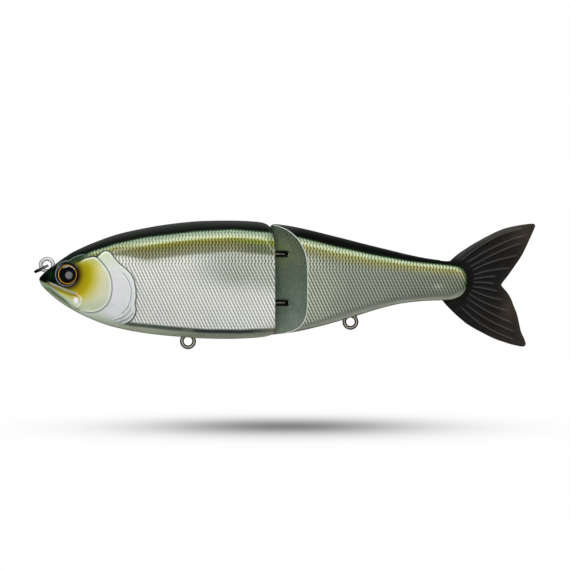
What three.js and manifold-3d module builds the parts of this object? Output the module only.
// Two-piece jointed swimbait with a soft fan tail. Millimetres, +Z up, nose towards -X.
// Origin: centre of the overall box. The two moulded halves of each section meet on Y = 0.
// Paired pieces are modelled on the right, +Y, and mirrored to the left, -Y.
import * as THREE from 'three';
import { mergeVertices } from 'three/addons/utils/BufferGeometryUtils.js';
import Module from 'manifold-3d';

const wasm = await Module();
wasm.setup();

// ---- body -----------------------------------------------------------------
const WALL = 1.8; // moulded shell wall
const WIDEST_AT = 0.55; // height of the widest line, as a share of the body depth
const ROUND_STEPS = 12; // facets from the back to the belly

// reaches of the cutting solids
const BACK = -1; // Y where cutters start, behind the parting plane
const FAR_BACK = -2; // Y behind that, so that a boss clears a cutter
const TALL = [-40, 40]; // Z range past back and belly
const SIDE_Y = 14; // past the flank
const REAR_X = 80; // past the end of the rear section

// measured outlines of the two sections: [X, Z] of the back and of the belly;
// X of the outer cross-sections and of the hollow's; [X, Z] of the pegs for the reflectors
const FRONT = {
  top: [
    [-94.23, 2.15], [-94.0, 2.76], [-93.35, 3.53], [-92.47, 4.41], [-91.43, 5.33],
    [-89.9, 6.48], [-88.06, 7.82], [-86.07, 9.39], [-83.77, 10.96], [-81.47, 12.46],
    [-78.4, 13.95], [-74.57, 15.64], [-70.73, 17.14], [-66.9, 18.52], [-63.06, 19.67],
    [-59.23, 20.59], [-55.4, 21.39], [-51.56, 22.12], [-47.73, 22.77], [-43.9, 23.31],
    [-40.06, 23.77], [-36.23, 24.15], [-32.4, 24.42], [-28.56, 24.54], [-24.73, 24.61],
    [-20.89, 24.61], [-17.06, 24.54], [-13.23, 24.34], [-10.16, 24.08], [-8.63, 23.81],
    [-7.48, 23.42], [-6.25, 22.66], [-5.18, 21.28], [-3.26, 18.98],
  ],
  bottom: [
    [-94.23, 1.88], [-94.0, 1.27], [-93.35, -0.04], [-92.47, -1.19], [-91.43, -2.22],
    [-89.9, -3.64], [-88.06, -5.21], [-86.07, -6.71], [-83.77, -8.2], [-81.47, -9.58],
    [-78.4, -11.23], [-74.57, -13.03], [-70.73, -14.57], [-66.9, -15.83], [-63.06, -16.79],
    [-59.23, -17.6], [-55.4, -18.29], [-51.56, -18.82], [-47.73, -19.28], [-43.9, -19.67],
    [-40.06, -19.97], [-36.23, -20.28], [-32.4, -20.51], [-28.56, -20.66], [-24.73, -20.74],
    [-20.89, -20.74], [-17.06, -20.63], [-13.23, -20.43], [-10.16, -20.17], [-7.48, -19.82],
    [-5.56, -19.3], [-3.26, -18.3],
  ],
  stations: [
    -94.23, -94.0, -93.35, -92.47, -91.43, -89.9, -88.06, -86.07, -83.77, -81.47, -78.4,
    -74.57, -70.73, -66.9, -59.23, -51.56, -43.9, -36.23, -28.56, -20.89, -13.23, -10.16,
    -8.63, -7.48, -6.25, -5.18, -3.26,
  ],
  hollow: [
    -76.5, -74.57, -70.73, -66.9, -59.23, -51.56, -43.9, -36.23, -28.56, -20.89, -13.23,
    -10.16, -8.2,
  ],
  pegs: [[-51, 4], [-18, 4]],
};
const REAR = {
  top: [
    [-8.63, 21.0], [-7.09, 21.5], [-6.02, 22.05], [-5.3, 22.75], [-4.5, 23.15],
    [-3.26, 23.23], [-1.73, 23.04], [2.11, 22.5], [5.94, 21.74], [9.78, 20.89],
    [13.61, 19.94], [17.44, 18.98], [21.28, 18.02], [25.11, 17.06], [28.94, 16.06],
    [32.78, 15.1], [36.61, 14.15], [40.45, 13.23], [44.28, 12.27], [48.11, 11.39],
    [51.95, 10.58], [55.78, 9.93], [59.61, 9.43], [63.06, 9.05], [66.4, 8.0],
    [68.24, 6.5], [69.35, 4.5], [69.81, 2.42],
  ],
  bottom: [
    [-8.63, -19.28], [-6.33, -19.25], [-4.79, -19.13], [-1.73, -18.79], [2.11, -18.29],
    [5.94, -17.64], [9.78, -16.79], [13.61, -15.87], [17.44, -14.84], [21.28, -13.72],
    [25.11, -12.57], [28.94, -11.42], [32.78, -10.2], [36.61, -9.05], [40.45, -8.05],
    [44.28, -7.25], [48.11, -6.71], [51.95, -6.33], [55.78, -6.1], [59.61, -6.02],
    [63.06, -5.94], [66.4, -5.0], [68.24, -3.6], [69.35, -1.57], [69.81, 0.5],
  ],
  stations: [
    -8.63, -6.02, -4.79, -3.26, 2.11, 9.78, 17.44, 25.11, 32.78, 40.45, 48.11, 55.78,
    59.61, 63.06, 66.4, 68.24, 69.35, 69.81,
  ],
  hollow: [3.4, 9.78, 17.44, 25.11, 32.78, 40.45, 46],
  pegs: [[19, 2.5], [40, 2.5]],
};
// [X, half width] along both sections
const HALF_WIDTH = [
  [-94.23, 0.35], [-94.0, 0.9], [-93.35, 1.8], [-92.47, 2.65], [-91.43, 3.45],
  [-89.9, 4.4], [-88.06, 5.35], [-86.07, 6.2], [-83.77, 7.1], [-81.47, 7.85],
  [-78.4, 8.7], [-74.57, 9.6], [-70.73, 10.3], [-64.98, 11.2], [-59.23, 11.8],
  [-51.56, 12.3], [-43.9, 12.5], [-28.56, 12.5], [-20.89, 12.4], [-13.23, 12.15],
  [-3.26, 11.9], [2.11, 11.65], [8.24, 11.3], [15.53, 10.4], [23.19, 9.3],
  [30.86, 8.15], [38.53, 7.05], [46.2, 6.0], [53.86, 5.15], [61.53, 4.6],
  [65.37, 4.25], [67.28, 3.85], [68.82, 3.3], [69.81, 2.6],
];
// [X, superellipse power] above and below the widest line: a rounded back, a squarer belly
const BACK_POWER = [[-94.2, 2.3], [-60, 2.4], [-10, 2.6], [10, 2.6], [50, 2.3]];
const BELLY_POWER = [
  [-94.2, 2.3], [-75, 2.4], [-50, 2.8], [-25, 3.8], [-4, 5.4],
  [8, 5.6], [30, 3.8], [55, 2.7], [69.8, 2.3],
];

// ---- general helpers --------------------------------------------------------
const widen = ([low, high], by) => [low - by, high + by];
const union = (solids) => solids.reduce((sum, part) => sum.add(part));
const mirrored = (part) => part.mirror([0, 1, 0]);

// value at x in a table of [x, value], held constant past the ends
function interpolate(table, x) {
  if (x <= table[0][0]) return table[0][1];
  for (let i = 1; i < table.length; i++) {
    const [x0, value0] = table[i - 1];
    const [x1, value1] = table[i];
    if (x <= x1) return value0 + ((x - x0) / (x1 - x0)) * (value1 - value0);
  }
  return table[table.length - 1][1];
}

function solid(geometry) {
  geometry.deleteAttribute('normal');
  geometry.deleteAttribute('uv');
  const merged = mergeVertices(geometry, 1e-4);
  return new wasm.Manifold(new wasm.Mesh({
    numProp: 3,
    vertProperties: new Float32Array(merged.attributes.position.array),
    triVerts: new Uint32Array(merged.index.array),
  }));
}

function geometryOf(manifold) {
  const mesh = manifold.getMesh();
  const geometry = new THREE.BufferGeometry();
  const positions = new Float32Array(mesh.vertProperties);
  geometry.setAttribute('position', new THREE.BufferAttribute(positions, 3));
  geometry.setIndex(new THREE.BufferAttribute(new Uint32Array(mesh.triVerts), 1));
  geometry.computeVertexNormals();
  return geometry;
}

// Closed solid over a list of rings of [x, y, z]; capped unless it closes on itself.
// A strip is a ring that runs out along one face and back along the other.
function skin(rings, { closed = false, strip = false } = {}) {
  const n = rings[0].length;
  const positions = rings.flat(2);
  const index = [];
  const spans = closed ? rings.length : rings.length - 1;
  for (let i = 0; i < spans; i++) {
    const a = i * n;
    const b = ((i + 1) % rings.length) * n;
    for (let j = 0; j < n; j++) {
      const k = (j + 1) % n;
      index.push(a + j, b + j, b + k, a + j, b + k, a + k);
    }
  }
  const end = (rings.length - 1) * n;
  if (!closed && strip) {
    for (let j = 0; j < n / 2 - 1; j++) {
      const [b, c, d] = [j + 1, n - 2 - j, n - 1 - j];
      index.push(j, b, c, j, c, d);
      index.push(end + j, end + c, end + b, end + j, end + d, end + c);
    }
  } else if (!closed) {
    for (let j = 1; j < n - 1; j++) {
      index.push(0, j, j + 1);
      index.push(end, end + j + 1, end + j);
    }
  }
  // turn the faces outwards if the rings enclose a negative volume
  const point = (i) => new THREE.Vector3().fromArray(positions, 3 * i);
  let volume = 0;
  for (let i = 0; i < index.length; i += 3) {
    volume += point(index[i]).dot(point(index[i + 1]).cross(point(index[i + 2])));
  }
  if (volume < 0) {
    for (let i = 0; i < index.length; i += 3) {
      [index[i + 1], index[i + 2]] = [index[i + 2], index[i + 1]];
    }
  }
  const geometry = new THREE.BufferGeometry();
  geometry.setAttribute('position', new THREE.Float32BufferAttribute(positions, 3));
  geometry.setIndex(index);
  return solid(geometry);
}

const WIRE_SIDES = 8;
// round wire along points in one plane with the given normal; radius is across the flats
function wire(points, normal, radius, closed) {
  const across = new THREE.Vector3(...normal);
  const path = points.map((p) => new THREE.Vector3(...p));
  const n = path.length;
  const cornerR = radius / Math.cos(Math.PI / WIRE_SIDES);
  const heading = (i) => path[(i + 1) % n].clone().sub(path[i]).normalize();
  return skin(path.map((p, i) => {
    const arriving = heading(closed ? (i + n - 1) % n : Math.max(i - 1, 0));
    const leaving = heading(closed ? i : Math.min(i, n - 2));
    const tangent = arriving.add(leaving).normalize();
    const side = across.clone().cross(tangent).normalize();
    const mitre = 1 / Math.max(tangent.dot(leaving), 0.5);
    return Array.from({ length: WIRE_SIDES }, (_, k) => {
      const angle = (2 * Math.PI * (k + 0.5)) / WIRE_SIDES;
      return p.clone()
        .addScaledVector(side, cornerR * Math.cos(angle) * mitre)
        .addScaledVector(across, cornerR * Math.sin(angle))
        .toArray();
    });
  }), { closed });
}

function arc([centreU, centreV], radius, start, end, steps) {
  return Array.from({ length: steps + 1 }, (_, i) => {
    const angle = start + ((end - start) * i) / steps;
    return [centreU + radius * Math.cos(angle), centreV + radius * Math.sin(angle)];
  });
}

function block([x0, x1], [y0, y1], [z0, z1]) {
  const geometry = new THREE.BoxGeometry(x1 - x0, y1 - y0, z1 - z0);
  geometry.translate((x0 + x1) / 2, (y0 + y1) / 2, (z0 + z1) / 2);
  return solid(geometry);
}
function postY([x, z], radius, [y0, y1], sides) {
  const geometry = new THREE.CylinderGeometry(radius, radius, y1 - y0, sides);
  geometry.translate(x, (y0 + y1) / 2, z);
  return solid(geometry);
}

function extrude(points, depth) {
  const shape = new THREE.Shape(points.map((p) => new THREE.Vector2(...p)));
  return new THREE.ExtrudeGeometry(shape, { depth, bevelEnabled: false });
}
// full-height prism over a plan of [x, y]
function planPrism(points) {
  const geometry = extrude(points, TALL[1] - TALL[0]);
  geometry.translate(0, 0, TALL[0]);
  return solid(geometry);
}
// prism along Y over a side view of [x, z]
function sidePrism(points, [y0, y1]) {
  const geometry = extrude(points, y1 - y0);
  geometry.rotateX(Math.PI / 2);
  geometry.translate(0, y1, 0);
  return geometry;
}

// ---- body surface -------------------------------------------------------------
function crossSection(body, x) {
  const top = interpolate(body.top, x);
  const bottom = interpolate(body.bottom, x);
  const widestZ = bottom + WIDEST_AT * (top - bottom);
  return {
    halfWidth: interpolate(HALF_WIDTH, x),
    widestZ,
    above: { height: top - widestZ, power: interpolate(BACK_POWER, x) },
    below: { height: widestZ - bottom, power: interpolate(BELLY_POWER, x) },
  };
}

// [y, z] of corner i of a cross-section, from the back (0) to the belly, set in by `inset`
function corner(body, x, i, inset) {
  const { halfWidth, widestZ, above, below } = crossSection(body, x);
  const angle = Math.PI * (0.5 - i / ROUND_STEPS);
  const sin = Math.sin(angle);
  const cos = i === 0 || i === ROUND_STEPS ? 0 : Math.cos(angle);
  const { height, power } = sin >= 0 ? above : below;
  const y = halfWidth * Math.abs(cos) ** (2 / power);
  const z = widestZ + Math.sign(sin) * height * Math.abs(sin) ** (2 / power);
  const normalY = (y / halfWidth) ** (power - 1) / halfWidth;
  const normalZ = (Math.sign(sin) * (Math.abs(z - widestZ) / height) ** (power - 1)) / height;
  const length = Math.hypot(normalY, normalZ);
  return [Math.max(y - (inset * normalY) / length, 0), z - (inset * normalZ) / length];
}

// [x, y, z] on the facets of a cross-section; u runs from the back (0) to the belly (1)
function sectionPoint(body, x, u, inset) {
  const i = Math.floor(u * ROUND_STEPS);
  const share = u * ROUND_STEPS - i;
  const [y0, z0] = corner(body, x, i, inset);
  const [y1, z1] = corner(body, x, i + 1, inset);
  return [x, y0 + share * (y1 - y0), z0 + share * (z1 - z0)];
}

function surfaceY(body, x, z) {
  const { halfWidth, widestZ, above, below } = crossSection(body, x);
  const { height, power } = z >= widestZ ? above : below;
  const share = Math.min(Math.abs(z - widestZ) / height, 0.999);
  return halfWidth * (1 - share ** power) ** (1 / power);
}

function halfRing(body, x, inset) {
  return Array.from({ length: ROUND_STEPS + 1 }, (_, i) => [x, ...corner(body, x, i, inset)]);
}
const outerHalf = (body) => skin(body.stations.map((x) => halfRing(body, x, 0)));
// the hollow is carried on behind the parting plane
function hollowHalf(body) {
  return skin(body.hollow.map((x) => {
    const ring = halfRing(body, x, WALL);
    return [...ring, [x, BACK, ring[ROUND_STEPS][2]], [x, BACK, ring[0][2]]];
  }));
}

// ---- reflector plates and their pegs --------------------------------------------
const PEG = { radius: 0.9, length: 1.3, sunk: 0.9 }; // length past the wall, root in the wall
const PLATE_GAP = 0.35; // from the shell wall
const PLATE_THICKNESS = 0.6;
const PLATE_TOP = 3; // section facets down from the back
const PLATE_ROWS = 7;
const PLATE_HOLE_R = 1.3;
// `low` is [X, u] of the lower edge, with u as in sectionPoint
const FRONT_PLATE = {
  stations: [-58, -51.56, -43.9, -36.23, -28.56, -20.89, -13.23, -10.5],
  low: [[-58, 0.785], [-44, 0.795], [-10, 0.8]],
};
const REAR_PLATE = {
  stations: [13.5, 17.44, 25.11, 32.78, 40.45, 45],
  low: [[13, 0.77], [20, 0.735], [45, 0.72]],
};

function pegs(body) {
  return union(body.pegs.map(([x, z]) => {
    const y = surfaceY(body, x, z);
    return postY([x, z], PEG.radius, [y - WALL - PEG.length, y - PEG.sunk], 8);
  }));
}

function reflector(body, { stations, low }) {
  const plate = skin(stations.map((x) => {
    const rows = Array.from({ length: PLATE_ROWS - 1 }, (_, j) => (PLATE_TOP + j) / ROUND_STEPS);
    rows.push(interpolate(low, x));
    const face = (inset) => rows.map((u) => sectionPoint(body, x, u, inset));
    const outer = face(WALL + PLATE_GAP);
    const inner = face(WALL + PLATE_GAP + PLATE_THICKNESS);
    return [...outer, ...inner.reverse()];
  }), { strip: true });
  const holes = body.pegs.map((place) => postY(place, PLATE_HOLE_R, [2, SIDE_Y], 10));
  return plate.subtract(union(holes));
}

// ---- eyelets ----------------------------------------------------------------------
// wire loop at `centre` [X, Z], with an anchor loop a step along `direction`
const EYE_WIRE_R = 0.75;
const EYE_LOOP_R = 2.35;
const ANCHOR_WIRE_R = 0.7;
const ANCHOR_LOOP_R = 1.75;
const ANCHOR_STEP = 4.0;
const EYELETS = {
  line_tie_eyelet: { centre: [-91.24, 7.59], direction: [Math.SQRT1_2, -Math.SQRT1_2] },
  front_hook_eyelet: { centre: [-37.19, -21.62], direction: [0, 1] },
  rear_hook_eyelet: { centre: [25.07, -14.18], direction: [0.22, 0.9755] },
};
const EYELET_POCKET = {
  y: [BACK, 0.98],
  loopMargin: 1.05, // past the loop's centre line
  anchorMargin: 1.02,
  coreR: 0.68, // post left standing inside the anchor loop
};

function anchorCentre({ centre: [x, z], direction: [alongX, alongZ] }) {
  return [x + ANCHOR_STEP * alongX, z + ANCHOR_STEP * alongZ];
}
function wireLoop([x, z], loopR, wireR, steps) {
  const points = Array.from({ length: steps }, (_, i) => {
    const angle = (2 * Math.PI * i) / steps;
    return [x + loopR * Math.cos(angle), 0, z + loopR * Math.sin(angle)];
  });
  return wire(points, [0, 1, 0], wireR, true);
}
function eyelet(spec) {
  return wireLoop(spec.centre, EYE_LOOP_R, EYE_WIRE_R, 16)
    .add(wireLoop(anchorCentre(spec), ANCHOR_LOOP_R, ANCHOR_WIRE_R, 12));
}
function eyeletPocket(spec) {
  const { y, loopMargin, anchorMargin, coreR } = EYELET_POCKET;
  const anchor = anchorCentre(spec);
  return postY(spec.centre, EYE_LOOP_R + loopMargin, y, 24)
    .add(postY(anchor, ANCHOR_LOOP_R + anchorMargin, y, 20)
      .subtract(postY(anchor, coreR, [-2, 2], 10)));
}
function eyeletBoss(spec, radius, depth) {
  return postY(anchorCentre(spec), radius, [FAR_BACK, depth], 16);
}

// ---- ballast slugs and their saddles ---------------------------------------------
const SLUGS = {
  front_ballast_forward: { x: [-66, -51], z: -9.9, radius: 3.8 },
  front_ballast_aft: { x: [-31, -14], z: -13.4, radius: 4.0 },
  rear_ballast: { x: [7.5, 18.5], z: -9.4, radius: 3.1 },
};
const SLUG_GAP = 0.15; // at the ends, and beside the slug in the open part
const SLUG_RADIAL_GAP = 0.2;
const SADDLE_WALL = 1.3;
const SADDLE_RISE = 1.2; // above the slug's axis
const POCKET_RISE = 6;

function slug({ x: [x0, x1], z, radius }) {
  const geometry = new THREE.CylinderGeometry(radius, radius, x1 - x0, 16);
  geometry.rotateZ(Math.PI / 2);
  geometry.translate((x0 + x1) / 2, 0, z);
  return solid(geometry);
}
function saddle({ x, z, radius }) {
  const y = [FAR_BACK, radius + SADDLE_WALL];
  return block(widen(x, SADDLE_WALL), y, [TALL[0], z + SADDLE_RISE]);
}
function saddlePocket({ x, z, radius }) {
  const length = widen(x, SLUG_GAP);
  return slug({ x: length, z, radius: radius + SLUG_RADIAL_GAP })
    .add(block(length, [FAR_BACK, radius + SLUG_GAP], [z, z + POCKET_RISE]));
}

// ---- eyes -------------------------------------------------------------------------
const EYE_AT = [-83.31, 3.91]; // [X, Z]
const EYE_TILT = THREE.MathUtils.degToRad(12); // towards the nose
const EYE_R = 4.05;
const SOCKET_R = 4.3;
const SOCKET_DEPTH = 1.7;
const SOCKET_CUT = 6; // length of the cutter
const EYE_GAP = 0.05; // under the disc and under the lens
const DISC_THICKNESS = 0.4;
// [radius, height] of the lens
const LENS_PROFILE = [
  [0, 0], [EYE_R, 0], [EYE_R, 0.75], [3.5, 1.35], [2.5, 1.85], [1.2, 2.12], [0, 2.18],
];
const EYE_NORMAL = new THREE.Vector3(-Math.sin(EYE_TILT), Math.cos(EYE_TILT), 0);

// turns a piece made along Y onto the eye's axis, its origin `height` above the socket floor
function onEyeAxis(geometry, height) {
  const up = new THREE.Vector3(0, 1, 0);
  geometry.applyQuaternion(new THREE.Quaternion().setFromUnitVectors(up, EYE_NORMAL));
  const origin = new THREE.Vector3(EYE_AT[0], surfaceY(FRONT, ...EYE_AT), EYE_AT[1])
    .addScaledVector(EYE_NORMAL, height - SOCKET_DEPTH);
  geometry.translate(origin.x, origin.y, origin.z);
  return solid(geometry);
}
function eyeCylinder(radius, length, base) {
  const geometry = new THREE.CylinderGeometry(radius, radius, length, 24);
  return onEyeAxis(geometry, base + length / 2);
}
const eyeSocket = () => eyeCylinder(SOCKET_R, SOCKET_CUT, 0);
const eyeDisc = () => eyeCylinder(EYE_R, DISC_THICKNESS, EYE_GAP);
function eyeLens() {
  const profile = LENS_PROFILE.map((p) => new THREE.Vector2(...p));
  return onEyeAxis(new THREE.LatheGeometry(profile, 24), 2 * EYE_GAP + DISC_THICKNESS);
}

// ---- grooves in the head -------------------------------------------------------------
const GROOVE_LIFT = 0.7; // the cutter's top above the surface
const GROOVE_SPREAD = 2.2; // its half width there, as a multiple of `half`
// `line` is [X, Z] along the surface
const GROOVES = {
  mouth: {
    half: 0.45,
    depth: 0.75,
    line: [[-93.4, 1.9], [-90.4, 0.1], [-86.4, -2.0], [-82.2, -3.6], [-79.4, -4.3]],
  },
  cheek: {
    half: 0.35,
    depth: 0.45,
    line: [
      [-78.5, 8.8], [-76.1, 10.0], [-73.4, 10.7], [-70.8, 9.3], [-67.2, 4.8], [-66.0, 1.5],
      [-65.9, -2.0], [-66.6, -5.2], [-68.0, -7.6], [-70.1, -9.5], [-73.0, -10.5],
      [-75.6, -10.4],
    ],
  },
  gill: {
    half: 0.45,
    depth: 0.65,
    line: [
      [-71.2, 10.4], [-70.1, 11.8], [-69.0, 12.7], [-67.6, 12.8], [-66.3, 12.0],
      [-65.0, 10.1], [-63.4, 8.2], [-61.0, 6.2], [-58.8, 4.2], [-57.5, 1.5],
      [-56.8, -2.0], [-56.8, -4.7], [-57.3, -7.4], [-56.9, -9.2], [-57.3, -11.4],
      [-58.5, -13.2], [-60.2, -14.4],
    ],
  },
};

function surfaceNormal(body, x, z) {
  const e = 0.05;
  const slopeX = (surfaceY(body, x + e, z) - surfaceY(body, x - e, z)) / (2 * e);
  const slopeZ = (surfaceY(body, x, z + e) - surfaceY(body, x, z - e)) / (2 * e);
  return new THREE.Vector3(-slopeX, 1, -slopeZ).normalize();
}
// V-shaped cutter along the +Y side
function groove({ line, half, depth }) {
  const path = line.map(([x, z]) => new THREE.Vector3(x, surfaceY(FRONT, x, z), z));
  return skin(path.map((p, i) => {
    const normal = surfaceNormal(FRONT, ...line[i]);
    const before = path[Math.max(i - 1, 0)];
    const after = path[Math.min(i + 1, path.length - 1)];
    const tangent = after.clone().sub(before).normalize();
    const side = normal.clone().cross(tangent).normalize();
    const corners = [[GROOVE_LIFT, -1], [GROOVE_LIFT, 1], [-depth, 0]];
    return corners.map(([lift, sign]) => p.clone()
      .addScaledVector(normal, lift)
      .addScaledVector(side, sign * half * GROOVE_SPREAD)
      .toArray());
  }));
}

// ---- hinge ------------------------------------------------------------------------
const PIN_X = -0.8; // vertical hinge axis
const PIN_R = 0.72;
const PIN_TOP = 15.5;
const PIN_BOTTOM = -17.25;
const PIN_SIDES = 16;
const PLUG_R = 1.4;
const PLUG_BOTTOM = -18.5;
const PLUG_SIDES = 20;
const LOOP_Z = [11.75, -6.9]; // the two wire loops
const LOOP_WIRE_R = 0.58;
const LOOP_BEND_R = 1.55;
// [X, Y] from the turned-out foot of a loop to the start of its bend
const LOOP_LEG = [
  [-13.6, 3.9], [-13.6, LOOP_BEND_R + 0.9], [-13.35, LOOP_BEND_R + 0.25],
  [-12.7, LOOP_BEND_R], [-5, LOOP_BEND_R],
];
// blocks at each loop: reach in Y and half height
const LOOP_BOSS = { x: [-17, -7], depth: 5.6, half: 2.6 };
const LEG_POCKET = { x: [-14.6, -4], depth: 2.4, half: 0.8 };
const FOOT_POCKET = { x: [-14.6, -12.6], depth: 4.3, half: 0.8 };

function pinCylinder(radius, [z0, z1], sides) {
  const geometry = new THREE.CylinderGeometry(radius, radius, z1 - z0, sides);
  geometry.rotateX(Math.PI / 2);
  geometry.translate(PIN_X, 0, (z0 + z1) / 2);
  return solid(geometry);
}
function hingePin() {
  const cornerR = PIN_R / Math.cos(Math.PI / PIN_SIDES);
  return pinCylinder(cornerR, [PIN_BOTTOM, PIN_TOP], PIN_SIDES);
}
const pinPlug = () => pinCylinder(PLUG_R, [PLUG_BOTTOM, PIN_BOTTOM - 0.2], PLUG_SIDES);
const pinBore = () => pinCylinder(PIN_R + 0.13, [PIN_BOTTOM - 0.3, PIN_TOP + 0.2], PIN_SIDES);
const plugBore = () => pinCylinder(PLUG_R + 0.12, [-30, PIN_BOTTOM - 0.1], PLUG_SIDES);

function hingeLoop(z) {
  const plan = [
    ...LOOP_LEG,
    ...arc([PIN_X, 0], LOOP_BEND_R, Math.PI / 2, -Math.PI / 2, 8),
    ...LOOP_LEG.map(([x, y]) => [x, -y]).reverse(),
  ];
  return wire(plan.map(([x, y]) => [x, y, z]), [0, 0, 1], LOOP_WIRE_R, false);
}
function loopBlocks({ x, depth, half }) {
  return union(LOOP_Z.map((z) => block(x, [FAR_BACK, depth], widen([z, z], half))));
}

// X at y of the line that touches a circle round the pin and slants back at `angle`
function tangentX(radius, angle, y) {
  return PIN_X + (y * Math.sin(angle) - radius) / Math.cos(angle);
}

// ---- front shell ---------------------------------------------------------------------
const FRONT_END_X = -3.7;
const RECESS_R = 5.46; // hollow round the pin that takes the rear section's nose
const RECESS_FLARE = THREE.MathUtils.degToRad(15);
const RECESS_X = 4; // rear end of the cutter
const RECESS_Y = 12;

// round the pin, then flared so the bevel of the rear section can close on it
function recess() {
  return planPrism([
    [RECESS_X, BACK], [PIN_X - RECESS_R, BACK],
    ...arc([PIN_X, 0], RECESS_R, Math.PI, Math.PI - RECESS_FLARE, 2),
    [tangentX(RECESS_R, RECESS_FLARE, RECESS_Y), RECESS_Y], [RECESS_X, RECESS_Y],
  ]);
}
function frontShell() {
  const hollow = hollowHalf(FRONT)
    .subtract(loopBlocks(LOOP_BOSS))
    .subtract(eyeletBoss(EYELETS.front_hook_eyelet, 3.7, 4.4))
    .subtract(saddle(SLUGS.front_ballast_forward))
    .subtract(saddle(SLUGS.front_ballast_aft))
    .subtract(pegs(FRONT));
  const cutters = [
    hollow,
    loopBlocks(LEG_POCKET).add(loopBlocks(FOOT_POCKET)),
    saddlePocket(SLUGS.front_ballast_forward),
    saddlePocket(SLUGS.front_ballast_aft),
    eyeletPocket(EYELETS.line_tie_eyelet),
    eyeletPocket(EYELETS.front_hook_eyelet),
    block([FRONT_END_X, 10], [FAR_BACK, 20], TALL),
    recess(),
    eyeSocket(),
    ...Object.values(GROOVES).map(groove),
  ];
  return cutters.reduce((shell, cutter) => shell.subtract(cutter), outerHalf(FRONT));
}

// ---- rear shell ------------------------------------------------------------------------
const KNUCKLE_R = 5.0; // rounded nose, round the pin
const BEVEL_AT = [8.7, 11.25]; // [X, Y] where the bevel meets the flank
const BEVEL_WALL = 2.1;
const HOLLOW_X = [3.9, 60];
const HOLLOW_STEP_Y = 5.2; // the hollow starts square up to here, then follows the bevel
const bevelDX = BEVEL_AT[0] - PIN_X;
const BEVEL_ANGLE = Math.asin(KNUCKLE_R / Math.hypot(bevelDX, BEVEL_AT[1]))
  + Math.atan2(bevelDX, BEVEL_AT[1]);
// each slot is wide from the flank in to `fromY`, and close round the wire near the middle
const SLOT_FRONT_X = -12;
const SLOT_STEPS = [
  { half: 1.3, endX: 1.75, fromY: 3.6 },
  { half: 0.72, endX: 1.5, fromY: BACK },
];
const SLIT_HALF = 1.4; // slit for the tail
const TAIL_POSTS = [[53.6, 4.2], [53.6, -0.9]]; // [X, Z]

function wedge() {
  return planPrism([
    ...arc([PIN_X, 0], KNUCKLE_R, Math.PI, Math.PI - BEVEL_ANGLE, 5),
    [tangentX(KNUCKLE_R, BEVEL_ANGLE, SIDE_Y), SIDE_Y],
    [REAR_X, SIDE_Y], [REAR_X, BACK], [PIN_X - KNUCKLE_R, BACK],
  ]);
}
function hollowPlan() {
  const [x0, x1] = HOLLOW_X;
  const innerBevel = (y) => [tangentX(KNUCKLE_R - BEVEL_WALL, BEVEL_ANGLE, y), y];
  return planPrism([
    [x0, BACK], [x0, HOLLOW_STEP_Y], innerBevel(HOLLOW_STEP_Y), innerBevel(SIDE_Y),
    [x1, SIDE_Y], [x1, BACK],
  ]);
}
function slots() {
  return union(LOOP_Z.flatMap((z) => SLOT_STEPS.map(({ half, endX, fromY }) => {
    const outline = [
      [SLOT_FRONT_X, z - half],
      ...arc([endX - half, z], half, -Math.PI / 2, Math.PI / 2, 8),
      [SLOT_FRONT_X, z + half],
    ];
    return solid(sidePrism(outline, [fromY, SIDE_Y]));
  })));
}
function tailSlit() {
  const y = [BACK, SLIT_HALF];
  const posts = TAIL_POSTS.map((place) => postY(place, 1.0, widen([0, y[1] - 0.6], 1), 12));
  return block([50, 61], y, [-3.3, 6.5])
    .add(block([59.5, REAR_X], y, TALL))
    .subtract(union(posts));
}
function rearShell() {
  const hollow = hollowHalf(REAR)
    .intersect(hollowPlan())
    .subtract(eyeletBoss(EYELETS.rear_hook_eyelet, 3.4, 2.6))
    .subtract(saddle(SLUGS.rear_ballast))
    .subtract(pegs(REAR));
  const cutters = [
    hollow,
    slots(),
    pinBore(),
    plugBore(),
    saddlePocket(SLUGS.rear_ballast),
    eyeletPocket(EYELETS.rear_hook_eyelet),
    tailSlit(),
  ];
  const body = outerHalf(REAR).intersect(wedge());
  return cutters.reduce((shell, cutter) => shell.subtract(cutter), body);
}

// ---- split ring --------------------------------------------------------------------------
const RING_R = 2.65;
const RING_DIRECTION = [0.918, 0.395]; // [X, Z] from its centre to RING_POINT
const RING_POINT = [-90.95, 7.16]; // [X, Z] on its centre line
const RING_TURNS = 2;
const RING_STEPS = 22; // per turn
const RING_PITCH = 0.52;
const RING_HALF = { radial: 0.375, axial: 0.225 }; // half sizes of the flat wire

function splitRing() {
  const outward = new THREE.Vector3(RING_DIRECTION[0], 0, RING_DIRECTION[1]);
  const sideways = new THREE.Vector3(0, 1, 0);
  const axis = outward.clone().cross(sideways).normalize();
  const centre = new THREE.Vector3(RING_POINT[0], 0, RING_POINT[1])
    .addScaledVector(outward, -RING_R);
  return skin(Array.from({ length: RING_TURNS * RING_STEPS + 1 }, (_, i) => {
    const turn = i / RING_STEPS;
    const angle = Math.PI * (0.5 + 2 * turn);
    const radial = outward.clone().multiplyScalar(Math.cos(angle))
      .addScaledVector(sideways, Math.sin(angle));
    const along = RING_PITCH * (turn - RING_TURNS / 2);
    return [[-1, -1], [1, -1], [1, 1], [-1, 1]].map(([s, t]) => centre.clone()
      .addScaledVector(radial, RING_R + s * RING_HALF.radial)
      .addScaledVector(axis, along + t * RING_HALF.axial)
      .toArray());
  }));
}

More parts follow.
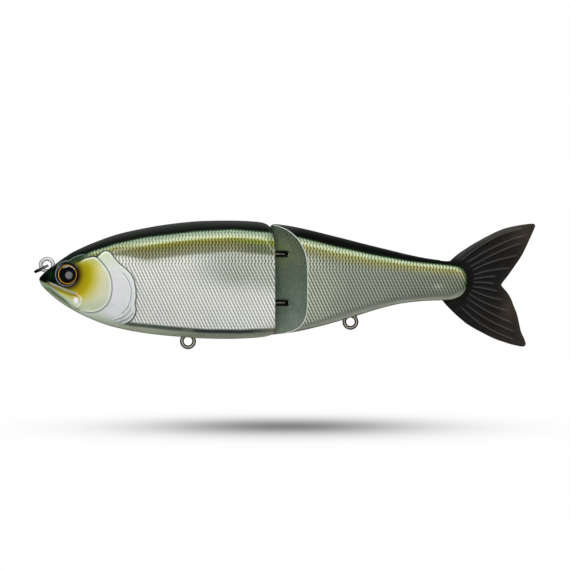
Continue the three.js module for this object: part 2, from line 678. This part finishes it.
// ---- tail -----------------------------------------------------------------------------------
const TAIL_AXIS_X = 70.6; // bend line
const TAIL_GAP = 0.45; // each side of the bend line
const FIN_X = TAIL_AXIS_X + TAIL_GAP;
const ROOT_X = TAIL_AXIS_X - TAIL_GAP;
const BLADE_HALF = [[TAIL_AXIS_X, 1.2], [96, 0.4]]; // [X, half thickness]
const TAB = { x: [50.4, 59.7], z: [-3.0, 6.2] }; // tongue that sits in the slit
const ROOT_SHOULDER_X = 59.9;
const TAIL_HOLE_R = 1.3;
const RIB = { half: 0.5, sunk: 0.15, height: 0.3, endHeight: 0.06 };
// outline of the whole tail, [X, Z], clockwise as seen with the nose to the left
const TAIL_TOP = [
  [63.26, 9.0], [65.37, 11.04], [67.28, 12.5], [71.12, 15.03], [74.95, 17.21], [78.78, 19.25],
  [82.62, 21.01], [86.45, 22.2], [90.28, 22.93], [94.12, 23.42], [95.35, 23.39],
];
const TAIL_REAR = [
  [95.92, 22.85], [95.73, 21.85], [94.65, 19.4], [92.47, 14.61], [90.63, 10.96],
  [88.41, 7.67], [85.84, 3.99], [83.15, 0.5], [82.96, -0.04], [83.19, -0.58],
  [85.11, -2.84], [86.6, -5.25], [87.68, -8.05], [88.87, -11.04], [89.67, -14.34],
  [90.44, -17.83], [92.09, -21.66], [92.28, -22.77], [91.97, -23.54],
];
const TAIL_BOTTOM = [
  [91.05, -23.73], [88.37, -23.27], [84.53, -22.2], [80.7, -20.89], [76.87, -19.09],
  [73.03, -17.06], [69.2, -14.68], [67.28, -13.07], [65.37, -11.39], [63.45, -9.51],
  [61.53, -7.51], [60.46, -6.1],
];
// [X, Z] along each rib of the fin, from the top down
const RIBS = [
  [[71.9, 12.95], [78.52, 17.12], [83.29, 19.32], [88.06, 20.86], [92.09, 21.59]],
  [[72.65, 10.22], [81.45, 14.99], [86.96, 17.38], [93.3, 19.15]],
  [[72.3, 7.55], [78.52, 10.96], [84.0, 13.45], [91.4, 16.0]],
  [[72.3, 5.6], [79.99, 8.94], [89.6, 11.25]],
  [[72.3, 3.7], [78.5, 5.4], [86.2, 6.35]],
  [[72.3, 2.2], [81.09, 3.25]],
  [[72.3, 0.87], [80.54, 0.32]],
  [[72.3, -0.75], [81.82, -2.61]],
  [[72.3, -2.5], [79.25, -5.0], [83.65, -5.91]],
  [[72.3, -4.6], [79.0, -8.0], [86.22, -10.32]],
  [[72.3, -6.9], [79.0, -11.0], [88.06, -15.08]],
  [[72.65, -10.13], [80.0, -14.6], [88.79, -18.38]],
  [[72.3, -12.9], [80.72, -18.2], [88.61, -21.5]],
];
const tailTopAt = (x) => [x, interpolate(TAIL_TOP, x)];
const tailBottomAt = (x) => [x, interpolate([...TAIL_BOTTOM].reverse(), x)];

function tailBlade(outline) {
  const geometry = sidePrism([...outline].reverse(), [-1, 1]);
  const position = geometry.attributes.position;
  for (let i = 0; i < position.count; i++) {
    position.setY(i, position.getY(i) * interpolate(BLADE_HALF, position.getX(i)));
  }
  return solid(geometry);
}
// ridge of triangular section on one face; side is +1 or -1 for the +Y or -Y face
function rib(line, side) {
  const path = line.map(([x, z]) => new THREE.Vector3(x, side * interpolate(BLADE_HALF, x), z));
  const last = path.length - 1;
  return skin(path.map((p, i) => {
    const along = path[Math.min(i + 1, last)].clone().sub(path[Math.max(i - 1, 0)]);
    const tangent = along.setY(0).normalize();
    const across = new THREE.Vector3(-tangent.z, 0, tangent.x);
    const height = i === 0 || i === last ? RIB.endHeight : RIB.height;
    const corners = [[-RIB.half, -RIB.sunk], [RIB.half, -RIB.sunk], [0, height]];
    return corners.map(([offset, rise]) => p.clone()
      .addScaledVector(across, offset)
      .setY(p.y + side * rise)
      .toArray());
  }));
}
function tailFin() {
  const blade = tailBlade([
    tailTopAt(FIN_X), ...TAIL_TOP.filter(([x]) => x > FIN_X),
    ...TAIL_REAR,
    ...TAIL_BOTTOM.filter(([x]) => x > FIN_X), tailBottomAt(FIN_X),
  ]);
  return union([blade, ...RIBS.flatMap((line) => [rib(line, 1), rib(line, -1)])]);
}
function tailRoot() {
  const blade = tailBlade([
    [TAB.x[0], TAB.z[1]], [TAB.x[1], TAB.z[1]],
    [ROOT_SHOULDER_X, interpolate(REAR.top, 60) - 0.3],
    ...TAIL_TOP.filter(([x]) => x < ROOT_X), tailTopAt(ROOT_X),
    tailBottomAt(ROOT_X), ...TAIL_BOTTOM.filter(([x]) => x < ROOT_X),
    [ROOT_SHOULDER_X, interpolate(REAR.bottom, 60) + 0.3],
    [TAB.x[1], TAB.z[0]], [TAB.x[0], TAB.z[0]],
  ]);
  return blade.subtract(union(TAIL_POSTS.map((p) => postY(p, TAIL_HOLE_R, [-3, 3], 16))));
}

// ---- assembly ----------------------------------------------------------------------------
const MATERIALS = {
  frontShell: { color: 0xb9c4ae, roughness: 0.22, metalness: 0.2 },
  rearShell: { color: 0xa9b3a3, roughness: 0.22, metalness: 0.2 },
  reflector: { color: 0xd8dcdc, roughness: 0.15, metalness: 0.9 },
  disc: { color: 0x15110a, roughness: 0.3, metalness: 0.3 },
  lens: { color: 0xf2f4f5, roughness: 0.03, metalness: 0, transparent: true, opacity: 0.35 },
  wire: { color: 0xb4b8bb, roughness: 0.25, metalness: 0.95 },
  ring: { color: 0x3a3c3f, roughness: 0.3, metalness: 0.9 },
  pin: { color: 0xa8acae, roughness: 0.3, metalness: 0.95 },
  plug: { color: 0xa9b3a3, roughness: 0.35, metalness: 0.1 },
  ballast: { color: 0x6e7072, roughness: 0.55, metalness: 0.7 },
  tail: { color: 0x17181a, roughness: 0.55, metalness: 0 },
};

const group = new THREE.Group();
group.name = 'swimbait';
function add(name, part, material) {
  const mesh = new THREE.Mesh(geometryOf(part), new THREE.MeshStandardMaterial(material));
  mesh.name = name;
  group.add(mesh);
}
function addPair(name, right, material) {
  add(`${name}_left`, mirrored(right), material);
  add(`${name}_right`, right, material);
}

addPair('front_shell', frontShell(), MATERIALS.frontShell);
addPair('rear_shell', rearShell(), MATERIALS.rearShell);
addPair('front_reflector', reflector(FRONT, FRONT_PLATE), MATERIALS.reflector);
addPair('rear_reflector', reflector(REAR, REAR_PLATE), MATERIALS.reflector);
addPair('eye_disc', eyeDisc(), MATERIALS.disc);
addPair('eye_lens', eyeLens(), MATERIALS.lens);
for (const [name, spec] of Object.entries(EYELETS)) add(name, eyelet(spec), MATERIALS.wire);
add('split_ring', splitRing(), MATERIALS.ring);
add('hinge_loop_upper', hingeLoop(LOOP_Z[0]), MATERIALS.wire);
add('hinge_loop_lower', hingeLoop(LOOP_Z[1]), MATERIALS.wire);
add('hinge_pin', hingePin(), MATERIALS.pin);
add('hinge_pin_plug', pinPlug(), MATERIALS.plug);
for (const [name, spec] of Object.entries(SLUGS)) add(name, slug(spec), MATERIALS.ballast);
add('tail_root', tailRoot(), MATERIALS.tail);
add('tail_fin', tailFin(), MATERIALS.tail);

export default group;
